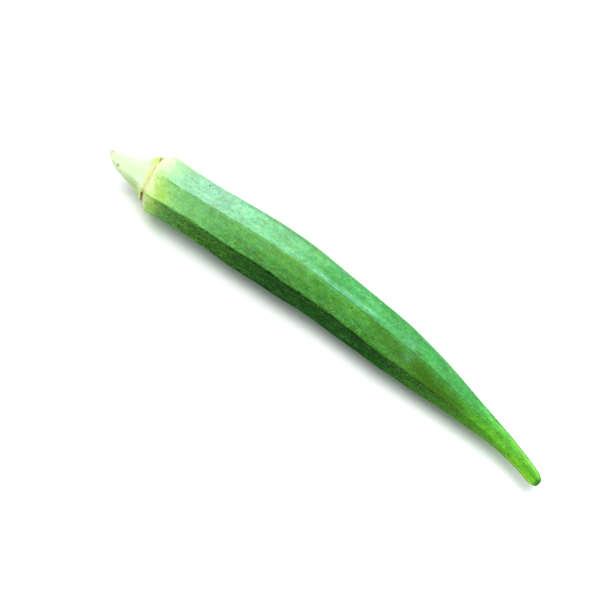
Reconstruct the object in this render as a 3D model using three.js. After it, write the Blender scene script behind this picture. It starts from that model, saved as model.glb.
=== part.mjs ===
// An okra pod as picked, lying on its side: the cut stalk, the flared cap, the scar ring where the
// flower's calyx fell away, the seven-ridged pod and its blunt beak, all grown in one piece.
// Millimetres. +X runs from the cut stalk to the tip of the beak and +Z is up. The origin is under
// the middle of the pod's box, on the surface that it lies on.
import * as THREE from "three";

// Along the pod, measured on X from the cut end of the stalk.
const LENGTH = 145;
const RING_AT = 14;
const BALANCE_AT = 60;

// Radius of the widest section, which the shares below scale.
const BELLY_RADIUS = 8.9;

// Ridges round the section, in degrees from the top towards -Y. The two at 151 and 209 are underneath.
const RIDGE_DEGREES = [7, 51, 97, 151, 209, 265, 320];
const CREST_WIDTH = 0.5;
const CREST_RISE = 0.16;
const CREST_REACH = 0.6;

// Radius at the ridges as a share of the belly's: stalk, cap, lip, scar, shoulder, belly, beak.
const RADIUS_SHARE = [
  [0, 0.105], [1, 0.155], [2.4, 0.23], [5.5, 0.355], [9.1, 0.475], [11.3, 0.575], [12.7, 0.705],
  [13.3, 0.748], [13.7, 0.735], [RING_AT, 0.74], [14.5, 0.795], [15.2, 0.895], [16, 0.955],
  [17.4, 0.965], [21, 0.925], [27, 0.915], [36, 0.955], [47, 1], [58, 0.99], [72, 0.91], [84, 0.852],
  [92, 0.828], [102, 0.725], [112, 0.565], [122, 0.41], [130, 0.31], [138, 0.24], [142, 0.218],
  [143.6, 0.185], [144.5, 0.13], [144.9, 0.07], [LENGTH, 0.02],
];

// How flat the faces between ridges are (0 is round, 1 is flat), and how far flat faces are hollowed.
const FLATNESS = [
  [0, 0.2], [9, 0.3], [RING_AT, 0.45], [16, 0.72], [23, 1], [96, 1], [108, 0.75], [120, 0.45], [138, 0.3],
  [LENGTH, 0.2],
];
const HOLLOW_SHARE = [[0, 0], [16, 0], [40, 0.01], [95, 0.012], [115, 0.003], [LENGTH, 0]];

// The grown curve: a sideways bow that turns sharply at the beak, a pitch, and a slight twist.
const BOW = [
  [0, 0], [1.5, -0.35], [3.5, -0.5], [7, -0.15], [12, 0.8], [28, 2.6], [44, 4.2], [58, 5.4], [72, 5.9],
  [91, 5.8], [105, 5.3], [118, 4.4], [130, 3.3], [138, 1.9], [LENGTH, 0],
];
const PITCH = -0.022;
const TWIST_DEGREES = [[0, 4], [50, 0], [105, -2.5], [LENGTH, -3]];

// The ring is a little askew and the stalk is cut at a slant: shifts along X as shares of the radius.
const RING_SKEW = { side: -0.06, up: 0.05, reach: 5 };
const CUT_SKEW = { side: 0.15, up: 0.15, reach: 1.6 };

// Uneven growth: slow swells along every face.
const SWELL = 0.011;
const SWELL_LENGTH = 31;

// The pod lies on the crests of its two lower ridges, which are pressed flat by this much.
const REST_FLAT = 0.3;

// Facets: points round each section between two ridges, drawn towards the ridges, and the sections.
const POINTS_PER_FACE = 10;
const DRAWN_TO_RIDGES = 0.07;
const SECTIONS = [
  0, 0.7, 1.5, 2.5, 4, 5.5, 7, 8.6, 10.1, 11.4, 12.2, 12.8, 13.15, 13.4, 13.7, 14, 14.25, 14.55, 14.9,
  15.3, 15.8, 16.5, 17.6, 19.2, 21.5, 24.5, 28, 32, 36, 40, 44, 48, 52, 56, 60, 64, 68, 72, 76, 80, 84, 88,
  92, 96, 100, 104, 108, 112, 116, 120, 124, 128, 132, 135.5, 138.5, 141, 142.8, 143.8, 144.5, 144.85,
];

const TURN = 2 * Math.PI;
const radians = THREE.MathUtils.degToRad;

// A smooth line through [x, value] pairs that never overshoots them (monotone cubic).
function through(pairs) {
  const steps = pairs.slice(1).map(([x], i) => x - pairs[i][0]);
  const slopes = steps.map((step, i) => (pairs[i + 1][1] - pairs[i][1]) / step);
  const tangents = pairs.map((_, i) => {
    if (i === 0) return slopes[0];
    if (i === slopes.length) return slopes[i - 1];
    const [before, after] = [slopes[i - 1], slopes[i]];
    if (before * after <= 0) return 0;
    const [a, b] = [2 * steps[i] + steps[i - 1], steps[i] + 2 * steps[i - 1]];
    return (a + b) / (a / before + b / after);
  });
  return (wanted) => {
    const x = THREE.MathUtils.clamp(wanted, pairs[0][0], pairs[steps.length][0]);
    const next = pairs.findIndex(([at], i) => i > 0 && at >= x);
    const step = steps[next - 1];
    const t = (x - pairs[next - 1][0]) / step;
    const [from, to] = [pairs[next - 1][1], pairs[next][1]];
    const rise = t * t * (3 - 2 * t);
    const leave = t * (1 - t) * (1 - t) * step * tangents[next - 1];
    const arrive = t * t * (t - 1) * step * tangents[next];
    return from + (to - from) * rise + leave + arrive;
  };
}

const radiusShare = through(RADIUS_SHARE);
const flatness = through(FLATNESS);
const hollowShare = through(HOLLOW_SHARE);
const bow = through(BOW);
const twist = through(TWIST_DEGREES);

// The face that an angle falls in: its number, the half angle it spans, and the angle to its nearer ridge.
function faceAt(angle) {
  const ridges = RIDGE_DEGREES.map(radians);
  const turned = THREE.MathUtils.euclideanModulo(angle - ridges[0], TURN);
  const starts = ridges.map((ridge) => ridge - ridges[0]);
  const number = starts.findLastIndex((start) => start <= turned + 1e-9);
  const end = starts[number + 1] ?? TURN;
  const half = (end - starts[number]) / 2;
  const fromRidge = Math.max(0, Math.min(turned - starts[number], end - turned));
  return { number, half, fromRidge };
}

// Distance from the centreline to the skin, at x along the pod and an angle round it.
function skinRadius(x, angle) {
  const ridge = BELLY_RADIUS * radiusShare(x);
  const { number, half, fromRidge } = faceAt(angle);
  const soft = CREST_WIDTH / ridge;
  const rounded = (a) => Math.sqrt(a * a + soft * soft) - soft;
  const away = (half * rounded(fromRidge)) / rounded(half);
  const chord = Math.cos(half) / Math.cos(half - away);
  const hollow = hollowShare(x) * Math.sin(((away / half) * Math.PI) / 2);
  const crest = CREST_RISE * radiusShare(x) * Math.exp(-(((fromRidge * ridge) / CREST_REACH) ** 2));
  const swell = SWELL * Math.sin((TURN * x) / SWELL_LENGTH + 1.9 * number) * Math.sin((Math.PI * x) / LENGTH);
  return ridge * (THREE.MathUtils.lerp(1, chord, flatness(x)) - hollow + swell) + crest;
}

// How far a skewed section is shifted along the pod, at a distance from where the skew is greatest.
function skewAt(skew, distance, wide, high) {
  return (skew.side * wide + skew.up * high) * Math.exp(-((distance / skew.reach) ** 2));
}

// A point of the skin before the pod is set down.
function skinPoint(x, angle) {
  const step = 0.5;
  const tangent = new THREE.Vector3(2 * step, bow(x + step) - bow(x - step), 2 * step * PITCH).normalize();
  const side = new THREE.Vector3(0, 0, 1).cross(tangent).normalize();
  const up = tangent.clone().cross(side);
  const radius = skinRadius(x, angle);
  const turned = angle + radians(twist(x));
  const [high, wide] = [radius * Math.cos(turned), -radius * Math.sin(turned)];
  const shift = skewAt(RING_SKEW, x - RING_AT, wide, high) + skewAt(CUT_SKEW, x, wide, high);
  return new THREE.Vector3(x, bow(x), PITCH * (x - BALANCE_AT))
    .addScaledVector(tangent, shift)
    .addScaledVector(side, wide)
    .addScaledVector(up, high);
}

// Angles round a section: every ridge, and the points between one ridge and the next.
function sectionAngles() {
  const shares = Array.from({ length: POINTS_PER_FACE }, (_, k) => k / POINTS_PER_FACE);
  const drawn = shares.map((share) => share - DRAWN_TO_RIDGES * Math.sin(TURN * share));
  return RIDGE_DEGREES.flatMap((ridge, i) => {
    const next = RIDGE_DEGREES[i + 1] ?? RIDGE_DEGREES[0] + 360;
    return drawn.map((share) => radians(ridge + (next - ridge) * share));
  });
}

function middleOf(points) {
  return points.reduce((sum, p) => sum.add(p), new THREE.Vector3()).divideScalar(points.length);
}

// One closed skin over all the sections, with a fan over the cut and a fan over the tip.
function podGeometry() {
  const angles = sectionAngles();
  const rings = SECTIONS.map((x) => angles.map((angle) => skinPoint(x, angle)));
  const tip = skinPoint(LENGTH, 0).lerp(skinPoint(LENGTH, Math.PI), 0.5);
  const points = [...rings.flat(), middleOf(rings[0]), tip];
  const lowest = Math.min(...points.map((p) => p.z)) + REST_FLAT;
  for (const point of points) point.z = Math.max(point.z, lowest);

  const round = angles.length;
  const [cutMiddle, tipEnd] = [points.length - 2, points.length - 1];
  const lastRing = (rings.length - 1) * round;
  const faces = [];
  for (let k = 0; k < round; k++) {
    const next = (k + 1) % round;
    faces.push(cutMiddle, next, k);
    faces.push(tipEnd, lastRing + k, lastRing + next);
    for (let ring = 0; ring < lastRing; ring += round) {
      faces.push(ring + k, ring + next, ring + round + k);
      faces.push(ring + next, ring + round + next, ring + round + k);
    }
  }
  const geometry = new THREE.BufferGeometry().setFromPoints(points).setIndex(faces);
  geometry.computeBoundingBox();
  const { min, max } = geometry.boundingBox;
  geometry.translate(-(min.x + max.x) / 2, -(min.y + max.y) / 2, -min.z);
  geometry.computeVertexNormals();
  return geometry;
}

const skin = new THREE.MeshStandardMaterial({ color: 0x5ea648, roughness: 0.5, metalness: 0 });
const pod = new THREE.Mesh(podGeometry(), skin);
pod.name = "okra_pod";

const okra = new THREE.Group();
okra.add(pod);

export default okra;
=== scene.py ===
"""The looks of an okra pod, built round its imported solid: the grown skin with its relief, the bristles
on it, the ragged rim of the calyx scar, and their materials. Metres in Blender, millimetres in the
shape's own numbers. +X runs from the cut stalk to the tip of the beak and +Z is up."""

import math

import bpy
import numpy as np
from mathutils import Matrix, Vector, noise


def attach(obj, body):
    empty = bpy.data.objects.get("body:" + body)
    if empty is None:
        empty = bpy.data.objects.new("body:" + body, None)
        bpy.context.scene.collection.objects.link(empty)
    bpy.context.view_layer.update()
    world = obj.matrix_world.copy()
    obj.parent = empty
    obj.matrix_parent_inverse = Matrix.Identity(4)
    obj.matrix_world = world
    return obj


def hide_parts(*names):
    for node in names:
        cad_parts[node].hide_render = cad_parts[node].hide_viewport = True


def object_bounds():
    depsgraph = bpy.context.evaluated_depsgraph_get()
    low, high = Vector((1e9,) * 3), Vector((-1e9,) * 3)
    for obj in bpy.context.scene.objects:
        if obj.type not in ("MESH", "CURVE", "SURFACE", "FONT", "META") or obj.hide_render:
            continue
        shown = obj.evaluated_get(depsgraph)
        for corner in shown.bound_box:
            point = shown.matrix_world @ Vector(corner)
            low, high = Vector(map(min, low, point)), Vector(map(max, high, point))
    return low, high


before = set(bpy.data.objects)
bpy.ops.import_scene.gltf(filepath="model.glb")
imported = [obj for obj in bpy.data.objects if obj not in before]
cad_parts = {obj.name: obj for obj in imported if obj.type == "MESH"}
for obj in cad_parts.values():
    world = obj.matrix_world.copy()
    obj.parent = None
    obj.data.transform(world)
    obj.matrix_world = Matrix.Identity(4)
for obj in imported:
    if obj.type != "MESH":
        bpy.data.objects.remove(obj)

cad_box = [list(corner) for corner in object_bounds()]

MM = 0.001
TURN = 2 * math.pi

# ---------------------------------------------------------------- the pod's shape, as in the solid

# Along the pod, measured from the cut end of the stalk. Angles round it run from the top towards -Y.
LENGTH = 145
RING_AT = 14
BALANCE_AT = 60
BELLY_RADIUS = 8.9
RIDGE_DEGREES = [7, 51, 97, 151, 209, 265, 320]
CREST_WIDTH = 0.5
CREST_RISE = 0.16
CREST_REACH = 0.6

# Radius at the ridges as a share of the belly's, how flat the faces are, and how far they are hollowed.
RADIUS_SHARE = [
    (0, 0.105), (1, 0.155), (2.4, 0.23), (5.5, 0.355), (9.1, 0.475), (11.3, 0.575), (12.7, 0.705),
    (13.3, 0.748), (13.7, 0.735), (RING_AT, 0.74), (14.5, 0.795), (15.2, 0.895), (16, 0.955),
    (17.4, 0.965), (21, 0.925), (27, 0.915), (36, 0.955), (47, 1), (58, 0.99), (72, 0.91), (84, 0.852),
    (92, 0.828), (102, 0.725), (112, 0.565), (122, 0.41), (130, 0.31), (138, 0.24), (142, 0.218),
    (143.6, 0.185), (144.5, 0.13), (144.9, 0.07), (LENGTH, 0.02),
]
FLATNESS = [
    (0, 0.2), (9, 0.3), (RING_AT, 0.45), (16, 0.72), (23, 1), (96, 1), (108, 0.75), (120, 0.45),
    (138, 0.3), (LENGTH, 0.2),
]
HOLLOW_SHARE = [(0, 0), (16, 0), (40, 0.01), (95, 0.012), (115, 0.003), (LENGTH, 0)]

# The grown curve, and the slants of the scar ring and of the cut: aside, up and how far they reach.
BOW = [
    (0, 0), (1.5, -0.35), (3.5, -0.5), (7, -0.15), (12, 0.8), (28, 2.6), (44, 4.2), (58, 5.4),
    (72, 5.9), (91, 5.8), (105, 5.3), (118, 4.4), (130, 3.3), (138, 1.9), (LENGTH, 0),
]
PITCH = -0.022
TWIST_DEGREES = [(0, 4), (50, 0), (105, -2.5), (LENGTH, -3)]
RING_SKEW = (-0.06, 0.05, 5)
CUT_SKEW = (0.15, 0.15, 1.6)

# Slow swells along every face, each face's a step on from the one before.
SWELL = 0.011
SWELL_LENGTH = 31
SWELL_STEP = 1.9


def through(pairs):
    """A smooth line through (x, value) pairs that never overshoots them (monotone cubic)."""
    at, value = (np.array(column, float) for column in zip(*pairs))
    step = np.diff(at)
    slope = np.diff(value) / step
    tangent = np.zeros(len(at))
    tangent[0], tangent[-1] = slope[0], slope[-1]
    for i in range(1, len(slope)):
        before, after = slope[i - 1], slope[i]
        if before * after > 0:
            a, b = 2 * step[i] + step[i - 1], step[i] + 2 * step[i - 1]
            tangent[i] = (a + b) / (a / before + b / after)

    def line(x):
        x = np.clip(np.asarray(x, float), at[0], at[-1])
        i = np.clip(np.searchsorted(at, x) - 1, 0, len(step) - 1)
        t = (x - at[i]) / step[i]
        rise = t * t * (3 - 2 * t)
        leave = t * (1 - t) ** 2 * step[i] * tangent[i]
        arrive = t * t * (t - 1) * step[i] * tangent[i + 1]
        return value[i] + (value[i + 1] - value[i]) * rise + leave + arrive

    return line


def bell(distance, reach):
    """1 where the distance is nothing, fading softly to 0 either way."""
    return np.exp(-((distance / reach) ** 2))


def come_in(x, start, over):
    """0 up to the start, then rising evenly to 1 over a length."""
    return np.clip((x - start) / over, 0, 1)


radius_share = through(RADIUS_SHARE)
flatness = through(FLATNESS)
hollow_share = through(HOLLOW_SHARE)
bow = through(BOW)
twist = through(TWIST_DEGREES)
ridges = np.radians(RIDGE_DEGREES)
face_starts = ridges - ridges[0]
face_ends = np.append(face_starts[1:], TURN)


def face_at(angle):
    """The face an angle falls in, the half angle it spans, and the angle to its nearer ridge."""
    turned = np.mod(angle - ridges[0], TURN)
    number = np.clip(np.searchsorted(face_starts, turned + 1e-9, side="right") - 1, 0, len(ridges) - 1)
    half = (face_ends[number] - face_starts[number]) / 2
    from_ridge = np.minimum(turned - face_starts[number], face_ends[number] - turned)
    return number, half, np.maximum(from_ridge, 0)


def skin_radius(x, angle):
    """Distance from the centreline to the smooth skin."""
    ridge = BELLY_RADIUS * radius_share(x)
    number, half, from_ridge = face_at(angle)
    soft = CREST_WIDTH / ridge

    def rounded(a):
        return np.sqrt(a * a + soft * soft) - soft

    away = half * rounded(from_ridge) / rounded(half)
    chord = np.cos(half) / np.cos(half - away)
    hollow = hollow_share(x) * np.sin(away / half * math.pi / 2)
    crest = CREST_RISE * radius_share(x) * bell(from_ridge * ridge, CREST_REACH)
    swell = SWELL * np.sin(TURN * x / SWELL_LENGTH + SWELL_STEP * number) * np.sin(math.pi * x / LENGTH)
    return ridge * (1 + (chord - 1) * flatness(x) - hollow + swell) + crest


def skew_at(skew, distance, wide, high):
    """How far a slanted section is shifted along the pod, at a distance from where it slants most."""
    side, up, reach = skew
    return (side * wide + up * high) * bell(distance, reach)


def axes_at(x):
    """The centreline's point, and the directions along, aside and up from it."""
    step = 0.5
    along = np.stack([2 * step + 0 * x, bow(x + step) - bow(x - step), 2 * step * PITCH + 0 * x], -1)
    along /= np.linalg.norm(along, axis=-1, keepdims=True)
    side = np.cross([0.0, 0.0, 1.0], along)
    side /= np.linalg.norm(side, axis=-1, keepdims=True)
    centre = np.stack([x, bow(x), PITCH * (x - BALANCE_AT)], -1)
    return centre, along, side, np.cross(along, side)


def place(x, angle, radius, ahead=0.0):
    """Points of the pod in millimetres, before it is set down; ahead moves them along the pod."""
    centre, along, side, up = axes_at(x)
    turned = angle + np.radians(twist(x))
    high, wide = radius * np.cos(turned), -radius * np.sin(turned)
    shift = skew_at(RING_SKEW, x - RING_AT, wide, high) + skew_at(CUT_SKEW, x, wide, high) + ahead
    return centre + along * shift[..., None] + side * wide[..., None] + up * high[..., None]


# The solid's own sections and corners say where its box and its lowest point are, so the skin is set
# down exactly where the solid is.
REST_FLAT = 0.3
POINTS_PER_FACE = 10
DRAWN_TO_RIDGES = 0.07
SECTIONS = [
    0, 0.7, 1.5, 2.5, 4, 5.5, 7, 8.6, 10.1, 11.4, 12.2, 12.8, 13.15, 13.4, 13.7, 14, 14.25, 14.55,
    14.9, 15.3, 15.8, 16.5, 17.6, 19.2, 21.5, 24.5, 28, 32, 36, 40, 44, 48, 52, 56, 60, 64, 68, 72, 76, 80,
    84, 88, 92, 96, 100, 104, 108, 112, 116, 120, 124, 128, 132, 135.5, 138.5, 141, 142.8, 143.8,
    144.5, 144.85,
]


def section_angles(per_face, drawn):
    """Angles round a section: every ridge, and points between two ridges that are drawn towards them."""
    share = np.arange(per_face) / per_face
    share = share - drawn * np.sin(TURN * share)
    spans = np.append(ridges[1:], ridges[0] + TURN) - ridges
    return (ridges[:, None] + spans[:, None] * share).ravel()


def origin_of_solid():
    """The middle of the solid's box and its lowest point, before it is set down."""
    x, angle = np.meshgrid(SECTIONS, section_angles(POINTS_PER_FACE, DRAWN_TO_RIDGES), indexing="ij")
    x = x.astype(float)
    points = place(x, angle, skin_radius(x, angle)).reshape(-1, 3)
    low, high = points.min(0), points.max(0)
    return np.array([(low[0] + high[0]) / 2, (low[1] + high[1]) / 2, low[2] + REST_FLAT])


ORIGIN = origin_of_solid()


def set_down(points):
    """Points in millimetres in the solid's own frame, pressed flat where the pod lies."""
    points = points - ORIGIN
    points[..., 2] = np.maximum(points[..., 2], 0)
    return points


# ---------------------------------------------------------------- noises that grow with the skin

# Each one's swing, its stretch along, aside and up, and its seed.
GROWN = {
    # Relief, in millimetres. The furrow's is a share of its depth.
    "furrow": (0.8, (0.12, 0.6, 0.6), 1),
    "swells": (0.09, (0.11, 0.22, 0.22), 2),
    "dents": (0.035, (0.35, 0.8, 0.8), 3),
    "fibres": (0.018, (0.16, 3.2, 3.2), 4),
    "ribs": (0.045, (0.14, 1.5, 1.5), 5),
    "pits": (0.02, (1.3, 1.3, 1.3), 6),
    "ragged": (0.07, (1.6, 1.9, 1.9), 7),
    "wrinkles": (0.04, (0.2, 2.4, 2.4), 8),
    # How far ridges wander, in radians.
    "wander": (0.022, (0.055, 0.25, 0.25), 9),
    # The frill of the scar: its height, its teeth, how it leans, and how it strays along the pod.
    "frill": (0.22, (0.35, 0.35, 0.35), 11),
    "teeth": (0.14, (1.4, 1.4, 1.4), 12),
    "frill lean": (0.2, (0.5, 0.5, 0.5), 13),
    "frill place": (0.2, (0.22, 0.22, 0.22), 14),
    "frill stray": (0.08, (0.7, 0.7, 0.7), 15),
    # Where colours lie: gaps and widths are shares, places are in millimetres, edges in degrees.
    "down highlight gaps": (1.0, (0.2, 0.6, 0.6), 21),
    "line gaps": (0.9, (0.3, 0.5, 0.5), 22),
    "line width": (0.5, (0.45, 0.3, 0.3), 23),
    "down highlight place": (0.2, (0.1, 0.2, 0.2), 24),
    "line place": (0.22, (0.16, 0.2, 0.2), 25),
    "shade edge": (2.4, (0.13, 0.3, 0.3), 26),
    "bloom sheen edge": (2.2, (0.35, 0.7, 0.7), 27),
}
SEED_STEP = np.array([17.3, 5.1, 9.7])


def grown(name, straight):
    """Smooth noise at each point, between minus and plus its swing."""
    swing, stretch, seed = GROWN[name]
    flat = (straight * np.array(stretch)).reshape(-1, 3) + seed * SEED_STEP
    values = np.fromiter((noise.noise(Vector(p)) for p in flat), float, len(flat))
    return swing * values.reshape(straight.shape[:-1])


def straightened(x, angle, radius):
    """The point's place on the pod if it had grown straight: coordinates that follow the skin."""
    return np.stack([x, radius * np.sin(angle), radius * np.cos(angle)], -1)


# ---------------------------------------------------------------- the skin's relief

# The skin's sections, as spans of (from, to, how many), and its points round each face.
SPANS = [
    (0, 1.2, 12), (1.2, 12.2, 38), (12.2, 17, 64), (17, 30, 50), (30, 138, 340), (138, 143.4, 28),
    (143.4, LENGTH, 24),
]
SKIN_PER_FACE = 24
SKIN_DRAWN = 0.1

# A furrow runs along each crest between two lips, and a low line along the middle of each face.
FURROW_DEPTH, FURROW_WIDTH = 0.13, 0.17
LIP_HEIGHT, LIP_AT, LIP_WIDTH = 0.05, 0.42, 0.2
MIDLINE_HEIGHT, MIDLINE_WIDTH = 0.035, 0.35
furrow_share = through(
    [(0, 0), (14, 0), (17, 0.9), (30, 1), (50, 0.5), (92, 0.55), (108, 0.6), (125, 0.4), (LENGTH, 0)]
)
fine_share = through([(0, 0.4), (12, 1), (30, 1), (118, 1), (140, 0.6), (LENGTH, 0.2)])

# Where along the pod these come in, and over what length.
MIDLINE_STARTS = (18, 10)
FACES_START = (RING_AT, 3)
WRINKLES_START = (112, 20)
WANDER_STARTS = (14, 12)

# The cap's ribs are low by the cut, and fade out over a length that ends at a place before the ring.
RIBS_LEAST, RIBS_FULL_AT = 0.25, 4
RIBS_FADE, RIBS_END = 2, RING_AT - 0.6

# How far the torn edge of the ring reaches either way.
RAGGED_REACH = 0.7


def relief(x, angle, radius):
    """How far the skin stands out from the smooth pod, in millimetres."""
    straight = straightened(x, angle, radius)
    _, half, from_ridge = face_at(angle)
    from_crest, from_middle = from_ridge * radius, (half - from_ridge) * radius
    furrow = -FURROW_DEPTH * (1 + grown("furrow", straight)) * bell(from_crest, FURROW_WIDTH)
    lips = LIP_HEIGHT * bell(from_crest - LIP_AT, LIP_WIDTH)
    midline = MIDLINE_HEIGHT * bell(from_middle, MIDLINE_WIDTH) * come_in(x, *MIDLINE_STARTS)
    on_faces = midline + grown("swells", straight) + grown("dents", straight) + grown("fibres", straight)
    body = (furrow + lips) * furrow_share(x) + on_faces * come_in(x, *FACES_START)
    wrinkles = grown("wrinkles", straight) * come_in(x, *WRINKLES_START)
    ribs = grown("ribs", straight) + grown("pits", straight)
    on_cap = np.clip((RIBS_END - x) / RIBS_FADE, 0, 1) * np.clip(x / RIBS_FULL_AT, RIBS_LEAST, 1)
    ragged = grown("ragged", straight) * bell(x - RING_AT, RAGGED_REACH)
    return (body + wrinkles) * fine_share(x) + ribs * on_cap + ragged


def rows_of(spans):
    """Places of the skin's sections along the pod."""
    return np.concatenate([np.linspace(a, b, n, endpoint=False) for a, b, n in spans] + [[LENGTH]])


def wander(x, angle):
    """Ridges don't run dead straight: the angle they have wandered by."""
    return grown("wander", straightened(x, angle, BELLY_RADIUS)) * come_in(x, *WANDER_STARTS)


def rough_radius(x, angle):
    """Distance from the centreline to the skin with its relief."""
    radius = skin_radius(x, angle)
    return radius + relief(x, angle, radius)


# ---------------------------------------------------------------- meshes


def add_object(name, data):
    made = bpy.data.objects.new(name, data)
    bpy.context.scene.collection.objects.link(made)
    return made


def mesh_object(name, points, faces, material, smooth=True):
    mesh = bpy.data.meshes.new(name)
    mesh.from_pydata(points.tolist(), [], faces)
    mesh.update()
    mesh.polygons.foreach_set("use_smooth", [smooth] * len(mesh.polygons))
    mesh.materials.append(material)
    return add_object(name, mesh)


def store(made, name, values):
    """Keeps a number or a vector for each vertex, for the material to read."""
    kind = "FLOAT_VECTOR" if values.ndim == 2 else "FLOAT"
    layer = made.data.attributes.new(name, kind, "POINT")
    key = "vector" if kind == "FLOAT_VECTOR" else "value"
    layer.data.foreach_set(key, values.astype(np.float32).ravel())


def tube_faces(rows, round_):
    """Four-sided faces between one row of points and the next, facing outwards."""
    start = np.arange(rows - 1)[:, None] * round_
    here = np.arange(round_)[None, :]
    beside = (here + 1) % round_
    quads = np.stack([start + here, start + beside, start + round_ + beside, start + round_ + here], -1)
    return quads.reshape(-1, 4).tolist()


# ---------------------------------------------------------------- where the skin's colours lie

# The side turned to the light, in degrees round the pod, is the pale one: painted sheen lies on it, painted
# shade opposite.
LIT_SIDE_DEGREES = 345

# Patches: where along and round the pod, how far they reach each way, and how strong they are.
PATCHES = {
    # Painted light: the stalk paler below, and whiter on its lit side and by the cap as a painted highlight.
    "stalk": [(4, 60, 4, 36, 0.8)],
    "white": [(6, 310, 6, 24, 0.9), (11.2, 44, 1.7, 18, 0.6)],
    "lip": [
        (13.1, 322, 0.9, 26, 0.95), (13.4, 20, 0.4, 40, 0.3), (10.6, 84, 2.6, 20, 0.75),
        (13, 66, 0.9, 12, 0.3), (11, 180, 3, 60, 0.5),
    ],
    "olive": [
        (96, 24, 6, 14, 0.4), (104, 20, 5, 14, 0.5), (106, 40, 8, 20, 0.7), (113, 42, 7, 26, 0.5),
        (119, 52, 6, 26, 0.3), (90, 14, 3, 8, 0.4), (76, 24, 4, 10, 0.15), (62, 190, 12, 14, 0.4),
        (88, 232, 9, 16, 0.45), (121, 130, 8, 30, 0.5),
    ],
    "teal": [(97.5, 353, 2.6, 14, 0.4), (99.5, 24, 1.5, 13, 0.3)],
    "yellow": [
        (18, 31, 1.5, 8, 0.65), (20.4, 38, 1.6, 10, 0.8), (17.2, 49, 1.8, 4, 0.8), (15.2, 52, 0.9, 8, 0.6),
        (18.5, 68, 2.4, 12, 0.5), (16.4, 4, 1.5, 9, 0.3), (19, 12, 2, 8, 0.3),
    ],
    # Painted highlights on the shoulder by the second ridge.
    "shoulder_highlight": [(16.7, 60, 1.2, 6, 0.9), (17.2, 45, 1.2, 4, 0.3)],
    # Painted light on the beak's lower side, and a painted highlight along its upper side.
    "beak_painted_light": [(143, 72, 8, 26, 0.9)],
    "beak_highlight": [(134, 330, 9, 10, 0.4), (141, 333, 5, 14, 0.8)],
    "spot": [(101, 357, 0.9, 4, 0.6), (4.3, 46, 0.35, 9, 0.8), (19.4, 58, 0.45, 3, 0.9)],
}

# Where the scar is browner, which is told by the angle alone.
SCAR_BROWNS = [
    (RING_AT, 320, 1, 15, 0.6), (RING_AT, 70, 1, 10, 0.7), (RING_AT, 100, 1, 22, 0.8),
    (RING_AT, 190, 1, 30, 0.8), (RING_AT, 250, 1, 16, 0.6),
]

# The bloom of pale wax and down, with a painted sheen where the skin turns to the light: how strong it is
# along the pod, and round it in degrees from the lit side, towards the ridges that are numbered upwards,
# near the beak, and the other way.
bloom_sheen_along = through([
    (0, 0.15), (14, 0.3), (19, 0.5), (26, 0.7), (38, 0.8), (50, 0.62), (62, 0.55), (76, 0.7), (118, 0.7),
    (130, 0.35), (LENGTH, 0.1),
])
bloom_sheen_round = through([(0, 1), (19, 1), (23, 0.2), (66, 0.12), (70, 0), (180, 0)])
late_bloom_sheen_round = through([(0, 1), (8, 0.95), (22, 0.6), (40, 0.2), (70, 0.02), (180, 0)])
bloom_sheen_behind = through([(0, 1), (22, 1), (30, 1.1), (78, 1), (136, 0.4), (180, 0)])
LATE_BLOOM_SHEEN_STARTS = (92, 12)

# Painted shade on the side turned away from the light and below: how dark it is, and by how many degrees it
# starts later along the pod.
shade_along = through([
    (0, 0), (17, 0), (18.6, 0.12), (20.2, 0.44), (22, 0.58), (26, 0.7), (34, 0.86), (45, 0.94), (56, 1),
    (90, 1), (104, 0.6), (114, 0.3), (124, 0), (LENGTH, 0),
])
shade_round = through([(0, 0), (57, 0), (60.5, 0.1), (64.5, 0.75), (68, 1), (112, 1), (166, 0.7), (180, 0.6)])
shade_behind = through([(0, 0), (80, 0), (136, 0.3), (180, 0.6)])
shade_later = through([(0, 0), (50, 0), (64, 3.5), (94, 3.8), (106, 1), (LENGTH, 0)])

# The dusk: painted shade that darkens the faces next to the dark side towards it, and the faces behind the
# lit side.
dusk_along = through([
    (0, 0), (24, 0), (36, 0.45), (45, 1), (88, 1), (98, 0.6), (107, 0.1), (116, 0), (LENGTH, 0),
])
dusk_round = through([
    (0, 0), (24, 0), (31, 0.12), (39, 0.2), (49, 0.4), (57, 0.5), (90, 0.5), (120, 0), (180, 0),
])
dusk_behind_along = through([
    (0, 0), (17, 0), (24, 0.5), (34, 0.3), (44, 1.5), (58, 1), (72, 0.8), (82, 0), (LENGTH, 0),
])
dusk_behind = through([(0, 0), (19, 0), (27, 0.3), (45, 0.3), (80, 0), (180, 0)])

# The dark line on each crest, partly the crest's own darker green and partly painted shade on its shaded
# side:
# how dark, how wide and how far aside it is, for each crest and along it, and how whole it is before its gaps
# are taken out.
CREST_DARKNESS = np.array([0.8, 1.0, 0.8, 0.6, 0.6, 0.6, 0.15])
CREST_WIDE = np.array([0.24, 0.36, 0.3, 0.26, 0.26, 0.26, 0.26])
CREST_SHIFT = np.array([0, 1, 0, 0, 0, 0, 0])
LINE_WHOLE = 0.8
shift_along = through([(0, 0.22), (54, 0.22), (68, 0.46), (90, 0.46), (104, 0.22), (LENGTH, 0.22)])
first_crest = through([
    (0, 0), (15, 0), (22, 0.75), (33, 0.75), (42, 0.3), (58, 0.3), (68, 0.52), (96, 0.58), (110, 0.3),
    (120, 0.2), (128, 0.42), (142, 0.42), (LENGTH, 0.1),
])
other_crests = through([
    (0, 0), (15, 0), (22, 0.7), (34, 0.9), (86, 1), (94, 0.5), (104, 0.2), (120, 0.12), (131, 0.3),
    (138, 0.3), (141, 0.1), (LENGTH, 0.05),
])

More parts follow.
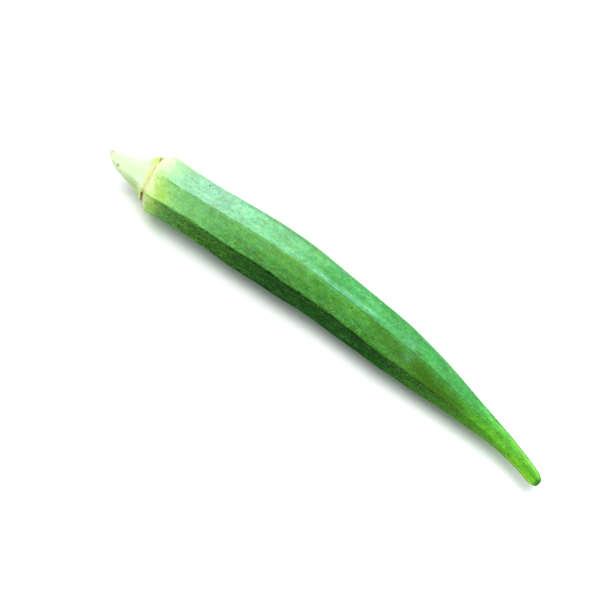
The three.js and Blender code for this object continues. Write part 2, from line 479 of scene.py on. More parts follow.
# The pale down on the lit side of each crest, partly a painted highlight: how much for each crest and along
# it, how far from the crest it lies, how far it reaches either way, and how whole it is before its gaps are
# taken out.
CREST_DOWN_HIGHLIGHT = np.array([1.0, 0.1, 0.1, 0.2, 0.2, 0.2, 0.35])
down_highlight_along = through([
    (0, 0), (30, 0), (48, 0.8), (60, 1), (84, 1), (88, 0.45), (95, 0.6), (99, 0.3), (101, 0), (LENGTH, 0),
])
down_highlight_at = through([
    (0, 1.25), (50, 1.3), (60, 1.5), (66, 1.1), (72, 0.85), (76, 1.15), (80, 1.4), (84, 1.65), (92, 1.8),
    (97, 2), (LENGTH, 2),
])
DOWN_HIGHLIGHT_REACH = 0.75
DOWN_HIGHLIGHT_WHOLE = 0.85


def from_lit_side(angle):
    """Degrees round from the lit side, positive towards the ridges that are numbered upwards."""
    return np.degrees(np.angle(np.exp(1j * (angle - math.radians(LIT_SIDE_DEGREES)))))


def by_side(angle, front, behind):
    """A value read from one line on the side that runs up from the lit one, from another behind it."""
    turned = from_lit_side(angle)
    return np.where(turned > 0, front(np.abs(turned)), behind(np.abs(turned)))


def bloom_and_sheen(x, angle):
    """How much pale bloom and painted sheen lies on the skin, from 0 to about 1. Its edge is soft towards the
    beak.
    """
    straight = straightened(x, angle, BELLY_RADIUS)
    angle = angle + np.radians(grown("bloom sheen edge", straight))
    crisp = by_side(angle, bloom_sheen_round, bloom_sheen_behind)
    soft = by_side(angle, late_bloom_sheen_round, bloom_sheen_behind)
    return (crisp + (soft - crisp) * come_in(x, *LATE_BLOOM_SHEEN_STARTS)) * bloom_sheen_along(x)


def shaded(x, angle):
    """How much painted shade lies on the skin, on the side turned away from the light and next to it, from 0
    to 1.
    """
    straight = straightened(x, angle, BELLY_RADIUS)
    wavering = grown("shade edge", straight) - shade_later(x)
    dark = by_side(angle + np.radians(wavering), shade_round, shade_behind) * shade_along(x)
    dusk = by_side(
        angle, lambda turned: dusk_round(turned) * dusk_along(x),
        lambda turned: dusk_behind(turned) * dusk_behind_along(x),
    )
    return np.maximum(dark, dusk)


def patches(x, angle, places):
    """How strong a set of patches is at each point, from 0 to 1."""
    total = np.zeros_like(x)
    for at, degrees, reach_x, reach_degrees, strength in places:
        turn = np.angle(np.exp(1j * (angle - math.radians(degrees))))
        away = ((x - at) / reach_x) ** 2 + (turn / math.radians(reach_degrees)) ** 2
        total += strength * np.exp(-away)
    return np.clip(total, 0, 1)


def nearest_crest(angle):
    """The number of the nearest crest and its angle, which may be a whole turn on."""
    turned = np.mod(angle - ridges[0], TURN)
    number, _, _ = face_at(angle)
    to_next = face_ends[number] - turned < turned - face_starts[number]
    at = np.where(to_next, face_ends[number], face_starts[number]) + ridges[0]
    return (number + to_next) % len(ridges), at


def across_crest(angle, radius):
    """The nearest crest's number, and the distance from it in millimetres, positive towards the lit side."""
    number, crest = nearest_crest(angle)
    sunward = np.sign(np.abs(from_lit_side(crest)) - np.abs(from_lit_side(angle)))
    _, _, from_ridge = face_at(angle)
    return number, sunward * from_ridge * radius


def crest_line(x, angle, radius):
    """The thin dark line on each crest, partly painted shade on its shaded side, from 0 to 1."""
    number, across = across_crest(angle, radius)
    along = np.where(number == 0, first_crest(x), other_crests(x))
    straight = straightened(x, angle, radius)
    broken = np.clip(LINE_WHOLE + grown("line gaps", straight), 0, 1)
    wide = CREST_WIDE[number] * (1 + grown("line width", straight))
    aside = across + CREST_SHIFT[number] * shift_along(x) + grown("line place", straight)
    return CREST_DARKNESS[number] * along * broken * bell(aside, wide)


def frost_and_highlight(x, angle, radius):
    """The broken streak of pale down and painted highlight on the lit side of each crest, from 0 to 1."""
    number, across = across_crest(angle, radius)
    straight = straightened(x, angle, radius)
    wandered = across - grown("down highlight place", straight)
    broken = np.clip(DOWN_HIGHLIGHT_WHOLE + grown("down highlight gaps", straight), 0, 1)
    return bell(wandered - down_highlight_at(x), DOWN_HIGHLIGHT_REACH) * broken * CREST_DOWN_HIGHLIGHT[number] * down_highlight_along(x)


# ---------------------------------------------------------------- the skin

# The cut, from its torn rim to its middle: share of the rim's radius, and how far it is sunk. The
# material reads INSIDE_CUT there as the place along the pod.
CUT_PROFILE = [(0.9, -0.1), (0.8, 0.0), (0.66, 0.1), (0.5, 0.12), (0.34, 0.08), (0.18, 0.03), (0.05, 0.02)]
CUT_MIDDLE_SUNK = 0.02
INSIDE_CUT = -0.5

# The dimple in the end of the beak: where it starts, over what length, how deep and how wide it is.
DIMPLE_FROM, DIMPLE_LENGTH, DIMPLE_DEPTH, DIMPLE_WIDTH = 143.9, 1.1, 0.28, 0.45


def make_skin(material):
    """The whole skin with its relief, closed at the cut and at the tip, and what its material reads."""
    angles = section_angles(SKIN_PER_FACE, SKIN_DRAWN)
    round_ = len(angles)
    x, angle = np.meshgrid(rows_of(SPANS), angles, indexing="ij")
    radius = rough_radius(x, angle)
    ahead = -DIMPLE_DEPTH * come_in(x, DIMPLE_FROM, DIMPLE_LENGTH) * bell(radius, DIMPLE_WIDTH)
    points = set_down(place(x, angle + wander(x, angle), radius, ahead))

    # The cut's rows run from its middle out to the rim, and fans close the middle and the tip.
    rim, tip = points[0], points[-1].mean(0)
    middle = rim.mean(0)
    _, along, _, _ = axes_at(np.array(0.0))
    inner = [middle + (rim - middle) * share + along * sunk for share, sunk in reversed(CUT_PROFILE)]
    rows = np.concatenate([np.stack(inner), points])
    cloud = np.concatenate([rows.reshape(-1, 3), [middle + along * CUT_MIDDLE_SUNK, tip]])
    faces = tube_faces(len(rows), round_)
    last = (len(rows) - 1) * round_
    for k in range(round_):
        beside = (k + 1) % round_
        faces.append([len(cloud) - 2, beside, k])
        faces.append([len(cloud) - 1, last + k, last + beside])
    made = mesh_object("okra_skin", cloud * MM, faces, material)

    before = np.full(round_, INSIDE_CUT)
    inside = [straightened(before, angles, radius[0] * share) for share, _ in reversed(CUT_PROFILE)]
    on_skin = straightened(x, angle, radius).reshape(-1, 3)
    store(made, "straight", np.concatenate([*inside, on_skin, [[INSIDE_CUT, 0, 0], [LENGTH, 0, 0]]]))

    measures = {
        "line": crest_line(x, angle, radius),
        "bloom_sheen": bloom_and_sheen(x, angle),
        "shade": shaded(x, angle),
        "far": by_side(angle, shade_round, shade_behind),
        "frost_highlight": frost_and_highlight(x, angle, radius),
        "scar": patches(RING_AT + 0 * x, angle, SCAR_BROWNS),
    }
    measures.update((name, patches(x, angle, places)) for name, places in PATCHES.items())
    for name, values in measures.items():
        store(made, name, np.concatenate([np.zeros(len(inner) * round_), values.ravel(), [0, 0]]))
    return made


# ---------------------------------------------------------------- bristles

BRISTLES = 32000
BRISTLE_SEED = 41

# Where they grow along the pod, how long and thick they are, how far they lean towards the tip and
# stray, how deep they root, and how far past the solid's box they may reach, in millimetres.
BRISTLE_SPAN = (2.5, 143.5)
BRISTLE_LENGTH = (0.2, 0.55)
BRISTLE_THICKNESS = (0.011, 0.019)
BRISTLE_LEAN = (-0.1, 0.75)
BRISTLE_STRAY = 0.22
BRISTLE_ROOT = 0.03
BRISTLE_REACH = 0.22
BOX_LOW, BOX_HIGH = np.array(cad_box) / MM

# Bristles are left out where their roots or tips would be this near to what the pod lies on.
CLEAR_ROOT, CLEAR_TIP = 0.35, 0.05

# The chance of one: on the faces, more of it within a reach of a crest, more in the down, the share
# that is left where the pod is thinnest, and the share that the shade takes.
CHANCE, CREST_CHANCE, CREST_CHANCE_REACH, DOWN_CHANCE = 0.3, 0.3, 0.7, 0.2
THIN_SHARE, SHADE_TAKES = 0.25, 0.93

# By how much they are longer within a reach of a crest, and round a place on the shoulder.
CREST_LONGER, CREST_LONGER_REACH = 0.35, 0.5
SHOULDER_LONGER, SHOULDER_LONGER_AT, SHOULDER_LONGER_REACH = 0.6, 22, 9


def unit(vectors):
    return vectors / np.linalg.norm(vectors, axis=-1, keepdims=True)


def bristle_chance(x, angle, from_crest):
    """How likely a bristle is at each place: likelier near crests and in the down, rare in the shade."""
    share = radius_share(x)
    chance = CHANCE + CREST_CHANCE * bell(from_crest, CREST_CHANCE_REACH)
    chance += DOWN_CHANCE * frost_and_highlight(x, angle, BELLY_RADIUS * share)
    chance *= THIN_SHARE + (1 - THIN_SHARE) * share
    return chance * (1 - SHADE_TAKES * shaded(x, angle))


def make_bristles(material):
    """Short stiff hairs all over the pod, thickest along the ridges, leaning towards the tip."""
    rng = np.random.default_rng(BRISTLE_SEED)
    tries = BRISTLES * 3
    x = rng.uniform(*BRISTLE_SPAN, tries)
    angle = rng.uniform(0, TURN, tries)
    from_crest = face_at(angle)[2] * BELLY_RADIUS * radius_share(x)
    keep = rng.uniform(0, 1, tries) < bristle_chance(x, angle, from_crest)
    x, angle, from_crest = (values[keep][:BRISTLES] for values in (x, angle, from_crest))
    count = len(x)
    angle = angle + wander(x, angle)
    radius = rough_radius(x, angle)
    root = place(x, angle, radius - BRISTLE_ROOT) - ORIGIN
    out = unit(place(x, angle, radius + 1) - ORIGIN - root)
    _, along, _, _ = axes_at(x)
    lean = along * rng.uniform(*BRISTLE_LEAN, (count, 1)) + rng.normal(0, BRISTLE_STRAY, (count, 3))
    grow = unit(out + lean)

    length = rng.uniform(*BRISTLE_LENGTH, count) * (1 + CREST_LONGER * bell(from_crest, CREST_LONGER_REACH))
    length *= 1 + SHOULDER_LONGER * bell(x - SHOULDER_LONGER_AT, SHOULDER_LONGER_REACH)
    tip = np.clip(root + grow * length[:, None], BOX_LOW - BRISTLE_REACH, BOX_HIGH + BRISTLE_REACH)

    # Each is a three-sided spike.
    across = unit(np.cross(grow, along + [0.03, 0.2, 0.5]))
    beside = np.cross(grow, across)
    thick = rng.uniform(*BRISTLE_THICKNESS, count)[:, None]
    turns = (0, TURN / 3, 2 * TURN / 3)
    corners = [root + (across * math.cos(turn) + beside * math.sin(turn)) * thick for turn in turns]
    clear = (root[:, 2] > CLEAR_ROOT) & (tip[:, 2] > CLEAR_TIP)
    points = np.stack([*corners, tip], 1)[clear]
    start = np.arange(len(points))[:, None] * 4
    sides = np.array([[0, 1, 3], [1, 2, 3], [2, 0, 3]])
    faces = (start[:, :, None] + sides[None]).reshape(-1, 3).tolist()
    return mesh_object("okra_bristles", points.reshape(-1, 3) * MM, faces, material)


# ---------------------------------------------------------------- the calyx scar

SCAR_SEED = 7
SCAR_POINTS = 700

# The ring's rough radius, on which the frill's noises are read.
SCAR_RADIUS = 8

# Up the front of the frill and down its back: share of its height, and place along the pod.
SCAR_PROFILE = [(0, 0.09), (0.6, 0.06), (1, 0.02), (0.6, -0.06), (0, -0.09)]

# The frill's height and its limits, its jitter, its lean, how far it stands past the ring's middle and how
# deep it is rooted, in millimetres, and the height at which its colour is the driest.
SCAR_HEIGHT, SCAR_LEAST, SCAR_MOST = 0.2, 0.03, 0.55
SCAR_JITTER = 0.07
SCAR_LEAN = 0.18
SCAR_AHEAD = 0.12
SCAR_ROOT = 0.12
SCAR_DRIEST = 0.4


def make_scar(material):
    """The ragged rim that the calyx left: a thin frill standing in the groove between cap and pod."""
    rng = np.random.default_rng(SCAR_SEED)
    angles = np.linspace(0, TURN, SCAR_POINTS, endpoint=False)
    ring = straightened(0 * angles, angles, SCAR_RADIUS)
    tall = SCAR_HEIGHT + grown("frill", ring) + grown("teeth", ring)
    tall = np.clip(tall + SCAR_JITTER * rng.normal(size=SCAR_POINTS), SCAR_LEAST, SCAR_MOST)
    lean = SCAR_LEAN + grown("frill lean", ring)
    x = RING_AT + SCAR_AHEAD + grown("frill place", ring) + grown("frill stray", ring)
    base = skin_radius(x, angles) - SCAR_ROOT
    rows = []
    for share, thick in SCAR_PROFILE:
        radius = base + SCAR_ROOT * (share > 0) + tall * share
        rows.append(place(x + thick + lean * share * tall, angles, radius))
    points = set_down(np.stack(rows))
    faces = tube_faces(len(rows), SCAR_POINTS)
    last = (len(rows) - 1) * SCAR_POINTS
    for k in range(SCAR_POINTS):
        beside = (k + 1) % SCAR_POINTS
        faces.append([last + k, last + beside, beside, k])
    made = mesh_object("calyx_scar", points.reshape(-1, 3) * MM, faces, material)
    shares = np.repeat([share for share, _ in SCAR_PROFILE], SCAR_POINTS)
    store(made, "height", shares * np.tile(tall, len(rows)) / SCAR_DRIEST)
    return made


# ---------------------------------------------------------------- materials


class Nodes:
    """Short calls for building one material's nodes."""

    def __init__(self, name):
        self.material = bpy.data.materials.new(name)
        self.material.use_nodes = True
        self.tree = self.material.node_tree
        self.tree.nodes.clear()

    def add(self, kind, inputs=None, **settings):
        node = self.tree.nodes.new(kind)
        for key, value in settings.items():
            setattr(node, key, value)
        for key, value in (inputs or {}).items():
            if isinstance(value, bpy.types.NodeSocket):
                self.tree.links.new(value, node.inputs[key])
            else:
                node.inputs[key].default_value = value
        return node

    def attribute(self, name):
        return self.add("ShaderNodeAttribute", attribute_name=name, attribute_type="GEOMETRY")

    def maths(self, operation, a, b):
        return self.add("ShaderNodeMath", {0: a, 1: b}, operation=operation).outputs[0]

    def product(self, value, *others):
        for other in others:
            value = self.maths("MULTIPLY", value, other)
        return value

    def range_(self, value, low, high, to_low=0.0, to_high=1.0):
        node = self.add(
            "ShaderNodeMapRange",
            {"Value": value, "From Min": low, "From Max": high, "To Min": to_low, "To Max": to_high},
            interpolation_type="SMOOTHSTEP",
        )
        return node.outputs["Result"]

    def mix(self, share, a, b, blend="MIX"):
        node = self.add("ShaderNodeMix", {0: share, 6: a, 7: b}, data_type="RGBA", blend_type=blend)
        return node.outputs[2]

    def noise(self, vector, scale, stretch, detail, rough, seed):
        moved = self.add(
            "ShaderNodeMapping", {"Vector": vector, "Scale": stretch, "Location": (seed, seed, seed)}
        )
        node = self.add(
            "ShaderNodeTexNoise",
            {"Vector": moved.outputs[0], "Scale": scale, "Detail": detail, "Roughness": rough},
        )
        return node.outputs[0]

    def times(self, colour, factor):
        """The colour made darker or lighter by a factor."""
        grey = self.add("ShaderNodeCombineColor", {0: factor, 1: factor, 2: factor}).outputs[0]
        return self.mix(1.0, colour, grey, "MULTIPLY")

    def swing(self, value, reach, share):
        """A factor round 1 that swings with a noise value, by up to the reach where the share is 1."""
        centred = self.range_(value, 0.3, 0.7, -reach, reach)
        return self.maths("ADD", self.product(centred, share), 1.0)

    def dots(self, vector, scale, core, edge, missing):
        """Round dots, 1 within the core radius and 0 past the edge, some of them left out."""
        cells = self.add("ShaderNodeTexVoronoi", {"Vector": vector, "Scale": scale}).outputs
        round_ = self.range_(cells["Distance"], core, edge, 1, 0)
        pick = self.add("ShaderNodeSeparateColor", {0: cells["Color"]}).outputs[0]
        return self.product(round_, self.range_(pick, missing, missing + 0.05))

    def ramp(self, value, stops):
        node = self.add("ShaderNodeValToRGB", {0: value})
        ramp = node.color_ramp
        while len(ramp.elements) < len(stops):
            ramp.elements.new(0.5)
        for element, (at, colour) in zip(ramp.elements, stops):
            element.position = at
            element.color = colour
        return node.outputs[0]

    def finish(self, inputs):
        """The material, with a principled shader that has these inputs."""
        shader = self.add("ShaderNodeBsdfPrincipled", inputs)
        self.add("ShaderNodeOutputMaterial", {"Surface": shader.outputs[0]})
        return self.material


def srgb(red, green, blue):
    """A colour given as it looks on a screen, 0 to 255, as Blender's own linear colour."""
    def linear(c):
        c /= 255
        return c / 12.92 if c <= 0.04045 else ((c + 0.055) / 1.055) ** 2.4

    return (linear(red), linear(green), linear(blue), 1)


# Colours as they look on a screen, 0 to 255, in plain white light. The body's are given along the pod.
BODY_COLOURS = [
    (0, (193, 211, 172)), (9, (195, 214, 174)), (RING_AT, (212, 218, 174)), (16.5, (210, 220, 166)),
    (19, (174, 205, 124)), (24, (130, 186, 116)), (34, (106, 167, 90)), (50, (101, 159, 77)),
    (75, (96, 156, 66)), (100, (84, 143, 46)), (118, (78, 137, 34)), (130, (93, 157, 30)),
    (141, (100, 166, 36)),
]
PALE_STREAK = srgb(130, 182, 104)
DARK_STREAK = srgb(58, 112, 42)
# The bloom's colours: pale wax and down together with a painted sheen on the side turned to the light.
BLOOM_SHEEN = srgb(138, 189, 160)
BLOOM_SHEEN_GREEN = srgb(72, 148, 97)
PALE_BLOOM_SHEEN = srgb(152, 187, 176)
OLIVE = srgb(66, 100, 24)
# Painted shade for the side turned away from the light: younger near the shoulder, and its flecks.
SHADE = srgb(20, 76, 6)
YOUNG_SHADE = srgb(60, 104, 14)
SHADE_FLECK = srgb(70, 96, 34)
# Crest lines: the crests' darker green, partly painted shade in the creases.
CREST_LINE = srgb(12, 50, 6)
YOUNG_CREST_LINE = srgb(58, 122, 38)
# Pale down by the crests, partly a painted highlight.
FROST_HIGHLIGHT = srgb(124, 180, 150)
WHITE_DOWN = srgb(186, 212, 190)
WARM_FLECK = srgb(150, 158, 78)
COOL_FLECK = srgb(96, 168, 140)
BROWN = srgb(88, 76, 38)
SPOT_BROWN = srgb(94, 84, 42)
SCAR_GOLD = srgb(194, 192, 112)
SCAR_BROWN = srgb(98, 76, 40)
# The scar's pale cream, partly a painted highlight.
SCAR_CREAM_HIGHLIGHT = srgb(206, 206, 172)
TIP = srgb(58, 108, 58)
SHOULDER_YELLOW = srgb(150, 188, 84)
# A painted highlight on the shoulder.
SHOULDER_HIGHLIGHT = srgb(196, 218, 148)
# The beak's painted light below and painted highlight above.
BEAK_PAINTED_LIGHT = srgb(156, 216, 66)
BEAK_HIGHLIGHT_COOL = srgb(140, 192, 102)
# Painted light on the stalk: paler below, and a painted highlight where it is whiter.
STALK_PAINTED_LIGHT = srgb(224, 234, 198)
STALK_PAINTED_HIGHLIGHT = srgb(210, 222, 206)
LIP_GREEN = srgb(164, 200, 92)
PITH = srgb(188, 192, 138)
PITH_DARK = srgb(136, 130, 78)
SKIN_SHEEN = srgb(206, 240, 222)
BRISTLE_GREEN = srgb(152, 198, 132)
BRISTLE_PALE = srgb(200, 226, 184)
FRILL_COLOURS = [
    (0.0, (228, 228, 178)), (0.45, (216, 210, 150)), (0.7, (168, 146, 84)), (1.0, (102, 78, 42)),
]


# The skin's noises: scale, stretch along, aside and up, detail, roughness and seed.
SKIN_NOISES = {
    "drift": (1.0, (0.06, 0.16, 0.16), 3, 0.55, 3),
    "streaks": (1.0, (0.05, 0.9, 0.9), 4, 0.6, 11),
    "dark streaks": (1.0, (0.08, 1.1, 1.1), 3, 0.6, 23),
    "clouds": (0.42, (0.5, 1, 1), 3, 0.6, 31),
    "mottle": (1.1, (0.7, 1, 1), 4, 0.65, 37),
    "pith": (5.0, (1, 1, 1), 3, 0.6, 41),
    "grain": (3.2, (0.7, 1, 1), 2, 0.7, 43),
    "torn": (0.9, (1, 1, 1), 3, 0.6, 53),
    "dapple": (1.0, (0.3, 1, 1), 4, 0.78, 59),
    "lip": (1.0, (0.5, 1.4, 1.4), 3, 0.6, 61),
    "pores": (2.2, (0.7, 1, 1), 2, 0.5, 67),
    "warm": (1.1, (0.8, 1, 1), 4, 0.82, 71),
    "cool": (1.1, (0.8, 1, 1), 4, 0.82, 79),
    "shade": (0.8, (0.5, 1, 1), 4, 0.78, 83),
    "beak": (1.0, (0.02, 0.45, 0.45), 2, 0.5, 97),
}


class SkinNodes(Nodes):
    """The skin's nodes: what its mesh keeps, its noises, and the colour as laid so far."""

    def __init__(self):
        super().__init__("okra_skin")
        self.straight = self.attribute("straight").outputs["Vector"]
        self.x = self.add("ShaderNodeSeparateXYZ", {0: self.straight}).outputs[0]
        kept = ("line", "bloom_sheen", "shade", "far", "frost_highlight", "scar", *PATCHES)
        self.kept = {name: self.attribute(name).outputs["Fac"] for name in kept}
        self.noises = {name: self.noise(self.straight, *kind) for name, kind in SKIN_NOISES.items()}
        self.on_pod = self.along(16, 26)
        self.deeper = self.range_(self.kept["shade"], 0.2, 0.9, 1, 4)
        self.colour = None

    def along(self, low, high, to_low=0.0, to_high=1.0):
        """A share that changes between two places along the pod."""
        return self.range_(self.x, low, high, to_low, to_high)

    def by_noise(self, name, low, high, to_low=0.0, to_high=1.0):
        """A share that changes between two values of a noise."""
        return self.range_(self.noises[name], low, high, to_low, to_high)

    def lay(self, over, *shares):
        """Lays a colour over what is there, as strongly as the product of the shares."""
        self.colour = self.mix(self.product(*shares), self.colour, over)

    def vary(self, name, reach, share):
        """Makes what is there darker and lighter with a noise."""
        self.colour = self.times(self.colour, self.swing(self.noises[name], reach, share))


def lay_body(n):
    """The body's colours along the pod, streaks that run with the ribs, the bloom with its painted sheen, and
    the beak's painted light and highlight.
    """
    at = n.maths("DIVIDE", n.x, LENGTH)
    for shift in (
        n.by_noise("drift", 0.3, 0.7, -0.012, 0.012),
        n.by_noise("mottle", 0.3, 0.7, -0.012, 0.012),
        n.product(n.kept["far"], n.along(RING_AT + 0.6, RING_AT + 3.6, 0, 0.013)),
    ):
        at = n.maths("ADD", at, shift)
    n.colour = n.ramp(at, [(x / LENGTH, srgb(*colour)) for x, colour in BODY_COLOURS])
    n.lay(PALE_STREAK, n.on_pod, n.by_noise("streaks", 0.4, 0.68, 0, 0.2))
    n.lay(DARK_STREAK, n.on_pod, n.by_noise("dark streaks", 0.5, 0.7, 0, 0.22))
    # The bloom, with a painted sheen on the side turned to the light.
    bloom_sheen = n.mix(n.along(30, 46), PALE_BLOOM_SHEEN, BLOOM_SHEEN)
    bloom_sheen = n.mix(n.along(46, 74), bloom_sheen, BLOOM_SHEEN_GREEN)
    streaky = n.by_noise("streaks", 0.3, 0.6, 0.8, 1)
    n.lay(bloom_sheen, n.kept["bloom_sheen"], streaky)
    n.vary("clouds", 0.13, n.on_pod)
    n.vary("beak", 0.2, n.along(112, 124))
    # Painted light on the beak's lower side and a painted highlight along its upper side.
    n.lay(BEAK_PAINTED_LIGHT, n.kept["beak_painted_light"], streaky)
    n.lay(BEAK_HIGHLIGHT_COOL, n.kept["beak_highlight"], streaky)


def lay_flecks(n):
    """Warm and cool flecks of a few hairs' width, calmer in the bloom and painted sheen and on the beak."""
    calm = n.product(n.kept["bloom_sheen"], n.along(54, 68, 0, 0.75))
    lit = n.product(n.on_pod, n.along(104, 124, 1, 0.3), n.maths("SUBTRACT", 1.0, calm))
    n.lay(WARM_FLECK, lit, n.by_noise("warm", 0.5, 0.66, 0, 0.6))
    n.lay(COOL_FLECK, lit, n.by_noise("cool", 0.5, 0.66, 0, 0.66))


def lay_shade(n):
    """The olive patches, painted shade on the side away from the light, crest lines partly of painted shade,
    and the down by them, partly a painted highlight.
    """
    n.lay(OLIVE, n.kept["olive"], n.by_noise("mottle", 0.35, 0.65, 0.7, 1))
    # Painted shade on the side turned away from the light.
    dark = n.mix(n.along(28, 60), YOUNG_SHADE, SHADE)
    dark = n.mix(n.by_noise("dapple", 0.5, 0.66, 0, 0.5), dark, SHADE_FLECK)
    dark = n.times(dark, n.swing(n.noises["shade"], 0.42, 1.0))
    n.lay(dark, n.kept["shade"], n.by_noise("mottle", 0.35, 0.65, 0.8, 1))
    # Crest lines, partly painted shade on the shaded side of each crest.
    n.lay(n.mix(n.along(26, 60), YOUNG_CREST_LINE, CREST_LINE), n.kept["line"])
    # Pale down and painted highlight by the crests, with the teal patches.
    down = n.maths("MAXIMUM", n.product(n.kept["frost_highlight"], 0.75), n.kept["teal"])
    n.lay(FROST_HIGHLIGHT, down, n.by_noise("mottle", 0.35, 0.6, 0.55, 1))
    tufts = n.dots(n.straight, 1.3, 0.12, 0.34, 0.45)
    n.lay(WHITE_DOWN, tufts, n.range_(n.kept["frost_highlight"], 0.3, 0.7, 0, 0.6))
    n.vary("mottle", 0.13, n.product(n.on_pod, n.deeper))


def lay_stalk(n):
    """The stalk is paler below, as painted light, and whiter on its lit side and by the cap, as a painted
    highlight, and the lip before the scar is greener.
    """
    n.lay(STALK_PAINTED_LIGHT, n.kept["stalk"], 0.8)
    n.lay(STALK_PAINTED_HIGHLIGHT, n.kept["white"])
    n.lay(LIP_GREEN, n.kept["lip"], n.by_noise("lip", 0.3, 0.6, 0.5, 1))


def lay_grain(n, roots):
    """Grain of a hair's width, pale dots where bristles root, brown specks and brown spots."""
    n.vary("grain", 0.14, n.product(n.along(10, 26, 0.4, 1), n.deeper, n.along(106, 122, 1, 1.25)))
    n.lay(PALE_STREAK, roots, 0.35)
    n.lay(BROWN, n.dots(n.straight, 0.2, 0.03, 0.08, 0.72), 0.7)
    n.lay(SPOT_BROWN, n.kept["spot"])


def lay_ends_and_scar(n):
    """The cut is pale inside a browned rim, the scar is cream, partly a painted highlight that fades on the
    shaded side, gold and brown, the shoulder has painted highlights, the tip is dark.
    """
    n.lay(BROWN, n.along(0.0, 0.4, 1, 0), 0.85)
    n.lay(n.mix(n.by_noise("pith", 0.4, 0.65), PITH, PITH_DARK), n.along(-0.3, -0.05, 1, 0))
    # The cream band past the scar, partly a painted highlight, weaker on the shaded side.
    cream = n.product(n.along(RING_AT + 0.1, RING_AT + 0.5), n.along(RING_AT + 0.9, RING_AT + 2, 1, 0))
    n.lay(SCAR_CREAM_HIGHLIGHT, cream, n.range_(n.kept["shade"], 0, 0.15, 0.75, 0.3))
    uneven = n.by_noise("mottle", 0.35, 0.6, 0.7, 1)
    n.lay(SHOULDER_YELLOW, n.kept["yellow"], n.along(RING_AT + 0.3, RING_AT + 1.1), uneven)
    # Painted highlights on the shoulder.
    n.lay(SHOULDER_HIGHLIGHT, n.kept["shoulder_highlight"], uneven)
    before = n.maths("ADD", n.x, n.product(n.kept["scar"], 0.4))
    after = n.maths("SUBTRACT", n.x, n.product(n.kept["scar"], 0.2))
    starts = n.range_(before, RING_AT - 0.4, RING_AT - 0.1)
    ends = n.range_(after, RING_AT + 0.05, RING_AT + 0.3, 1, 0)
    browned = n.maths("ADD", n.kept["scar"], n.by_noise("torn", 0.3, 0.7, -0.3, 0.3))
    n.lay(n.mix(n.range_(browned, 0.25, 0.7), SCAR_GOLD, SCAR_BROWN), starts, ends, 0.9)
    n.lay(TIP, n.along(143.6, 144.6, 0, 0.7))


def skin_material():
    n = SkinNodes()
    roots = n.dots(n.straight, 0.62, 0.05, 0.15, 0.5)
    lay_body(n)
    lay_flecks(n)
    lay_shade(n)
    lay_stalk(n)
    lay_grain(n, roots)
    lay_ends_and_scar(n)
    height = n.maths("ADD", n.product(n.noises["grain"], 0.4), n.product(n.noises["pores"], 0.6))
    height = n.maths("ADD", height, n.product(roots, 0.5))
    bump = n.add("ShaderNodeBump", {"Strength": 0.6, "Distance": 0.00012, "Height": height})
    return n.finish({
        "Base Color": n.colour, "Roughness": n.by_noise("mottle", 0.3, 0.7, 0.54, 0.7),
        "Normal": bump.outputs[0], "IOR": 1.42, "Specular IOR Level": 0.15, "Sheen Weight": 0.05,
        "Sheen Roughness": 0.45, "Sheen Tint": SKIN_SHEEN, "Subsurface Weight": 0.08,
        "Subsurface Scale": 0.001, "Subsurface Radius": (0.7, 1.0, 0.3),
    })


def bristle_material():
    n = Nodes("okra_bristles")
    coords = n.add("ShaderNodeTexCoord").outputs["Object"]
    tone = n.noise(coords, 900.0, (1, 1, 1), 1, 0.5, 5)
    colour = n.mix(n.range_(tone, 0.35, 0.65), BRISTLE_GREEN, BRISTLE_PALE)
    return n.finish({"Base Color": colour, "Roughness": 0.45, "IOR": 1.45})


def scar_material():
    n = Nodes("calyx_scar")
    coords = n.add("ShaderNodeTexCoord").outputs["Object"]
    height = n.attribute("height").outputs["Fac"]
    blotch = n.noise(coords, 420.0, (1, 1, 1), 3, 0.6, 2)
    dry = n.maths("ADD", n.product(height, 0.35), blotch)
    colour = n.ramp(n.range_(dry, 0.42, 0.85), [(at, srgb(*colour)) for at, colour in FRILL_COLOURS])
    bump = n.add("ShaderNodeBump", {"Strength": 0.4, "Distance": 0.0001, "Height": blotch})
    return n.finish({"Base Color": colour, "Roughness": 0.75, "Normal": bump.outputs[0]})


# ---------------------------------------------------------------- the pieces

skin = make_skin(skin_material())
bristles = make_bristles(bristle_material())
scar = make_scar(scar_material())
for piece in (skin, bristles, scar):
    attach(piece, "root")
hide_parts("okra_pod")

# ---------------------------------------------------------------- camera, floor and light

AZIMUTH, ELEVATION, DISTANCE = 39.917, 67.0, 0.5
TARGET = Vector((-0.005707, -0.004237, 0.008))
LENS, SENSOR_WIDTH = 114.31, 36
NEAREST, FARTHEST = 0.01, 10

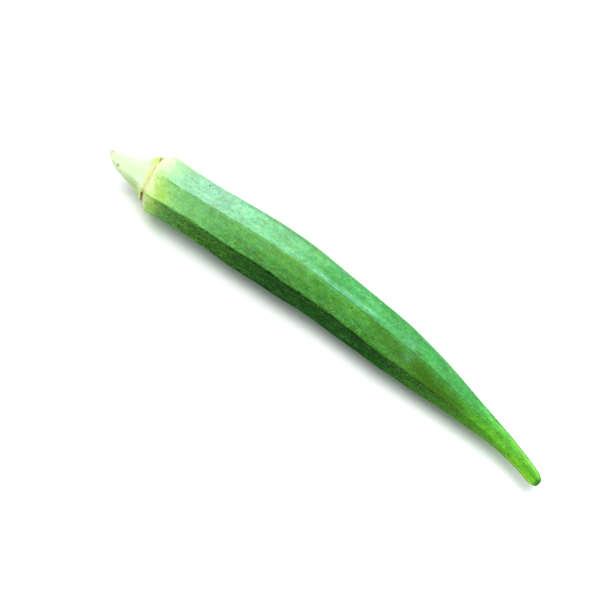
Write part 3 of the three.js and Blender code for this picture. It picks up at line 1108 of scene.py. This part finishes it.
# The floor is a square of this half width, a hair below the pod so that the two don't flicker.
FLOOR_HALF, FLOOR_DROP = 3, 0.00002
FLOOR_GREY = (0.82, 0.82, 0.82, 1)

# A broad soft key from behind the pod and well above it, and an even pale room round it.
KEY_AZIMUTH, KEY_ELEVATION, KEY_WIDTH, KEY_STRENGTH = 205, 74, 60, 2.65
KEY_COLOUR = (0.97, 1.0, 0.98)
ROOM_COLOUR, ROOM_STRENGTH = (0.95, 0.98, 1.0, 1), 0.5


def toward(azimuth, elevation):
    a, e = math.radians(azimuth), math.radians(elevation)
    return Vector((math.sin(a) * math.cos(e), -math.cos(a) * math.cos(e), math.sin(e)))


def look_back(made, azimuth, elevation):
    """Turns a camera or a lamp to look back from a direction."""
    made.rotation_mode = "QUATERNION"
    made.rotation_quaternion = (-toward(azimuth, elevation)).to_track_quat("-Z", "Y")


camera = add_object("camera", bpy.data.cameras.new("camera"))
camera.location = TARGET + toward(AZIMUTH, ELEVATION) * DISTANCE
look_back(camera, AZIMUTH, ELEVATION)
camera.data.lens = LENS
camera.data.sensor_width = SENSOR_WIDTH
camera.data.clip_start = NEAREST
camera.data.clip_end = FARTHEST
bpy.context.scene.camera = camera

corners = FLOOR_HALF * np.array([[-1, -1, 0], [1, -1, 0], [1, 1, 0], [-1, 1, 0]], float)
floor_material = Nodes("floor").finish({"Base Color": FLOOR_GREY, "Roughness": 0.9})
floor = mesh_object("floor", corners, [[0, 1, 2, 3]], floor_material, smooth=False)
floor.location.z = -FLOOR_DROP

key = add_object("key", bpy.data.lights.new("key", "SUN"))
look_back(key, KEY_AZIMUTH, KEY_ELEVATION)
key.data.angle = math.radians(KEY_WIDTH)
key.data.energy = KEY_STRENGTH
key.data.color = KEY_COLOUR

world = bpy.data.worlds.new("studio")
bpy.context.scene.world = world
world.use_nodes = True
room = world.node_tree.nodes["Background"]
room.inputs["Color"].default_value = ROOM_COLOUR
room.inputs["Strength"].default_value = ROOM_STRENGTH
bpy.context.scene.view_settings.view_transform = "Standard"
bpy.context.scene.view_settings.look = "High Contrast"
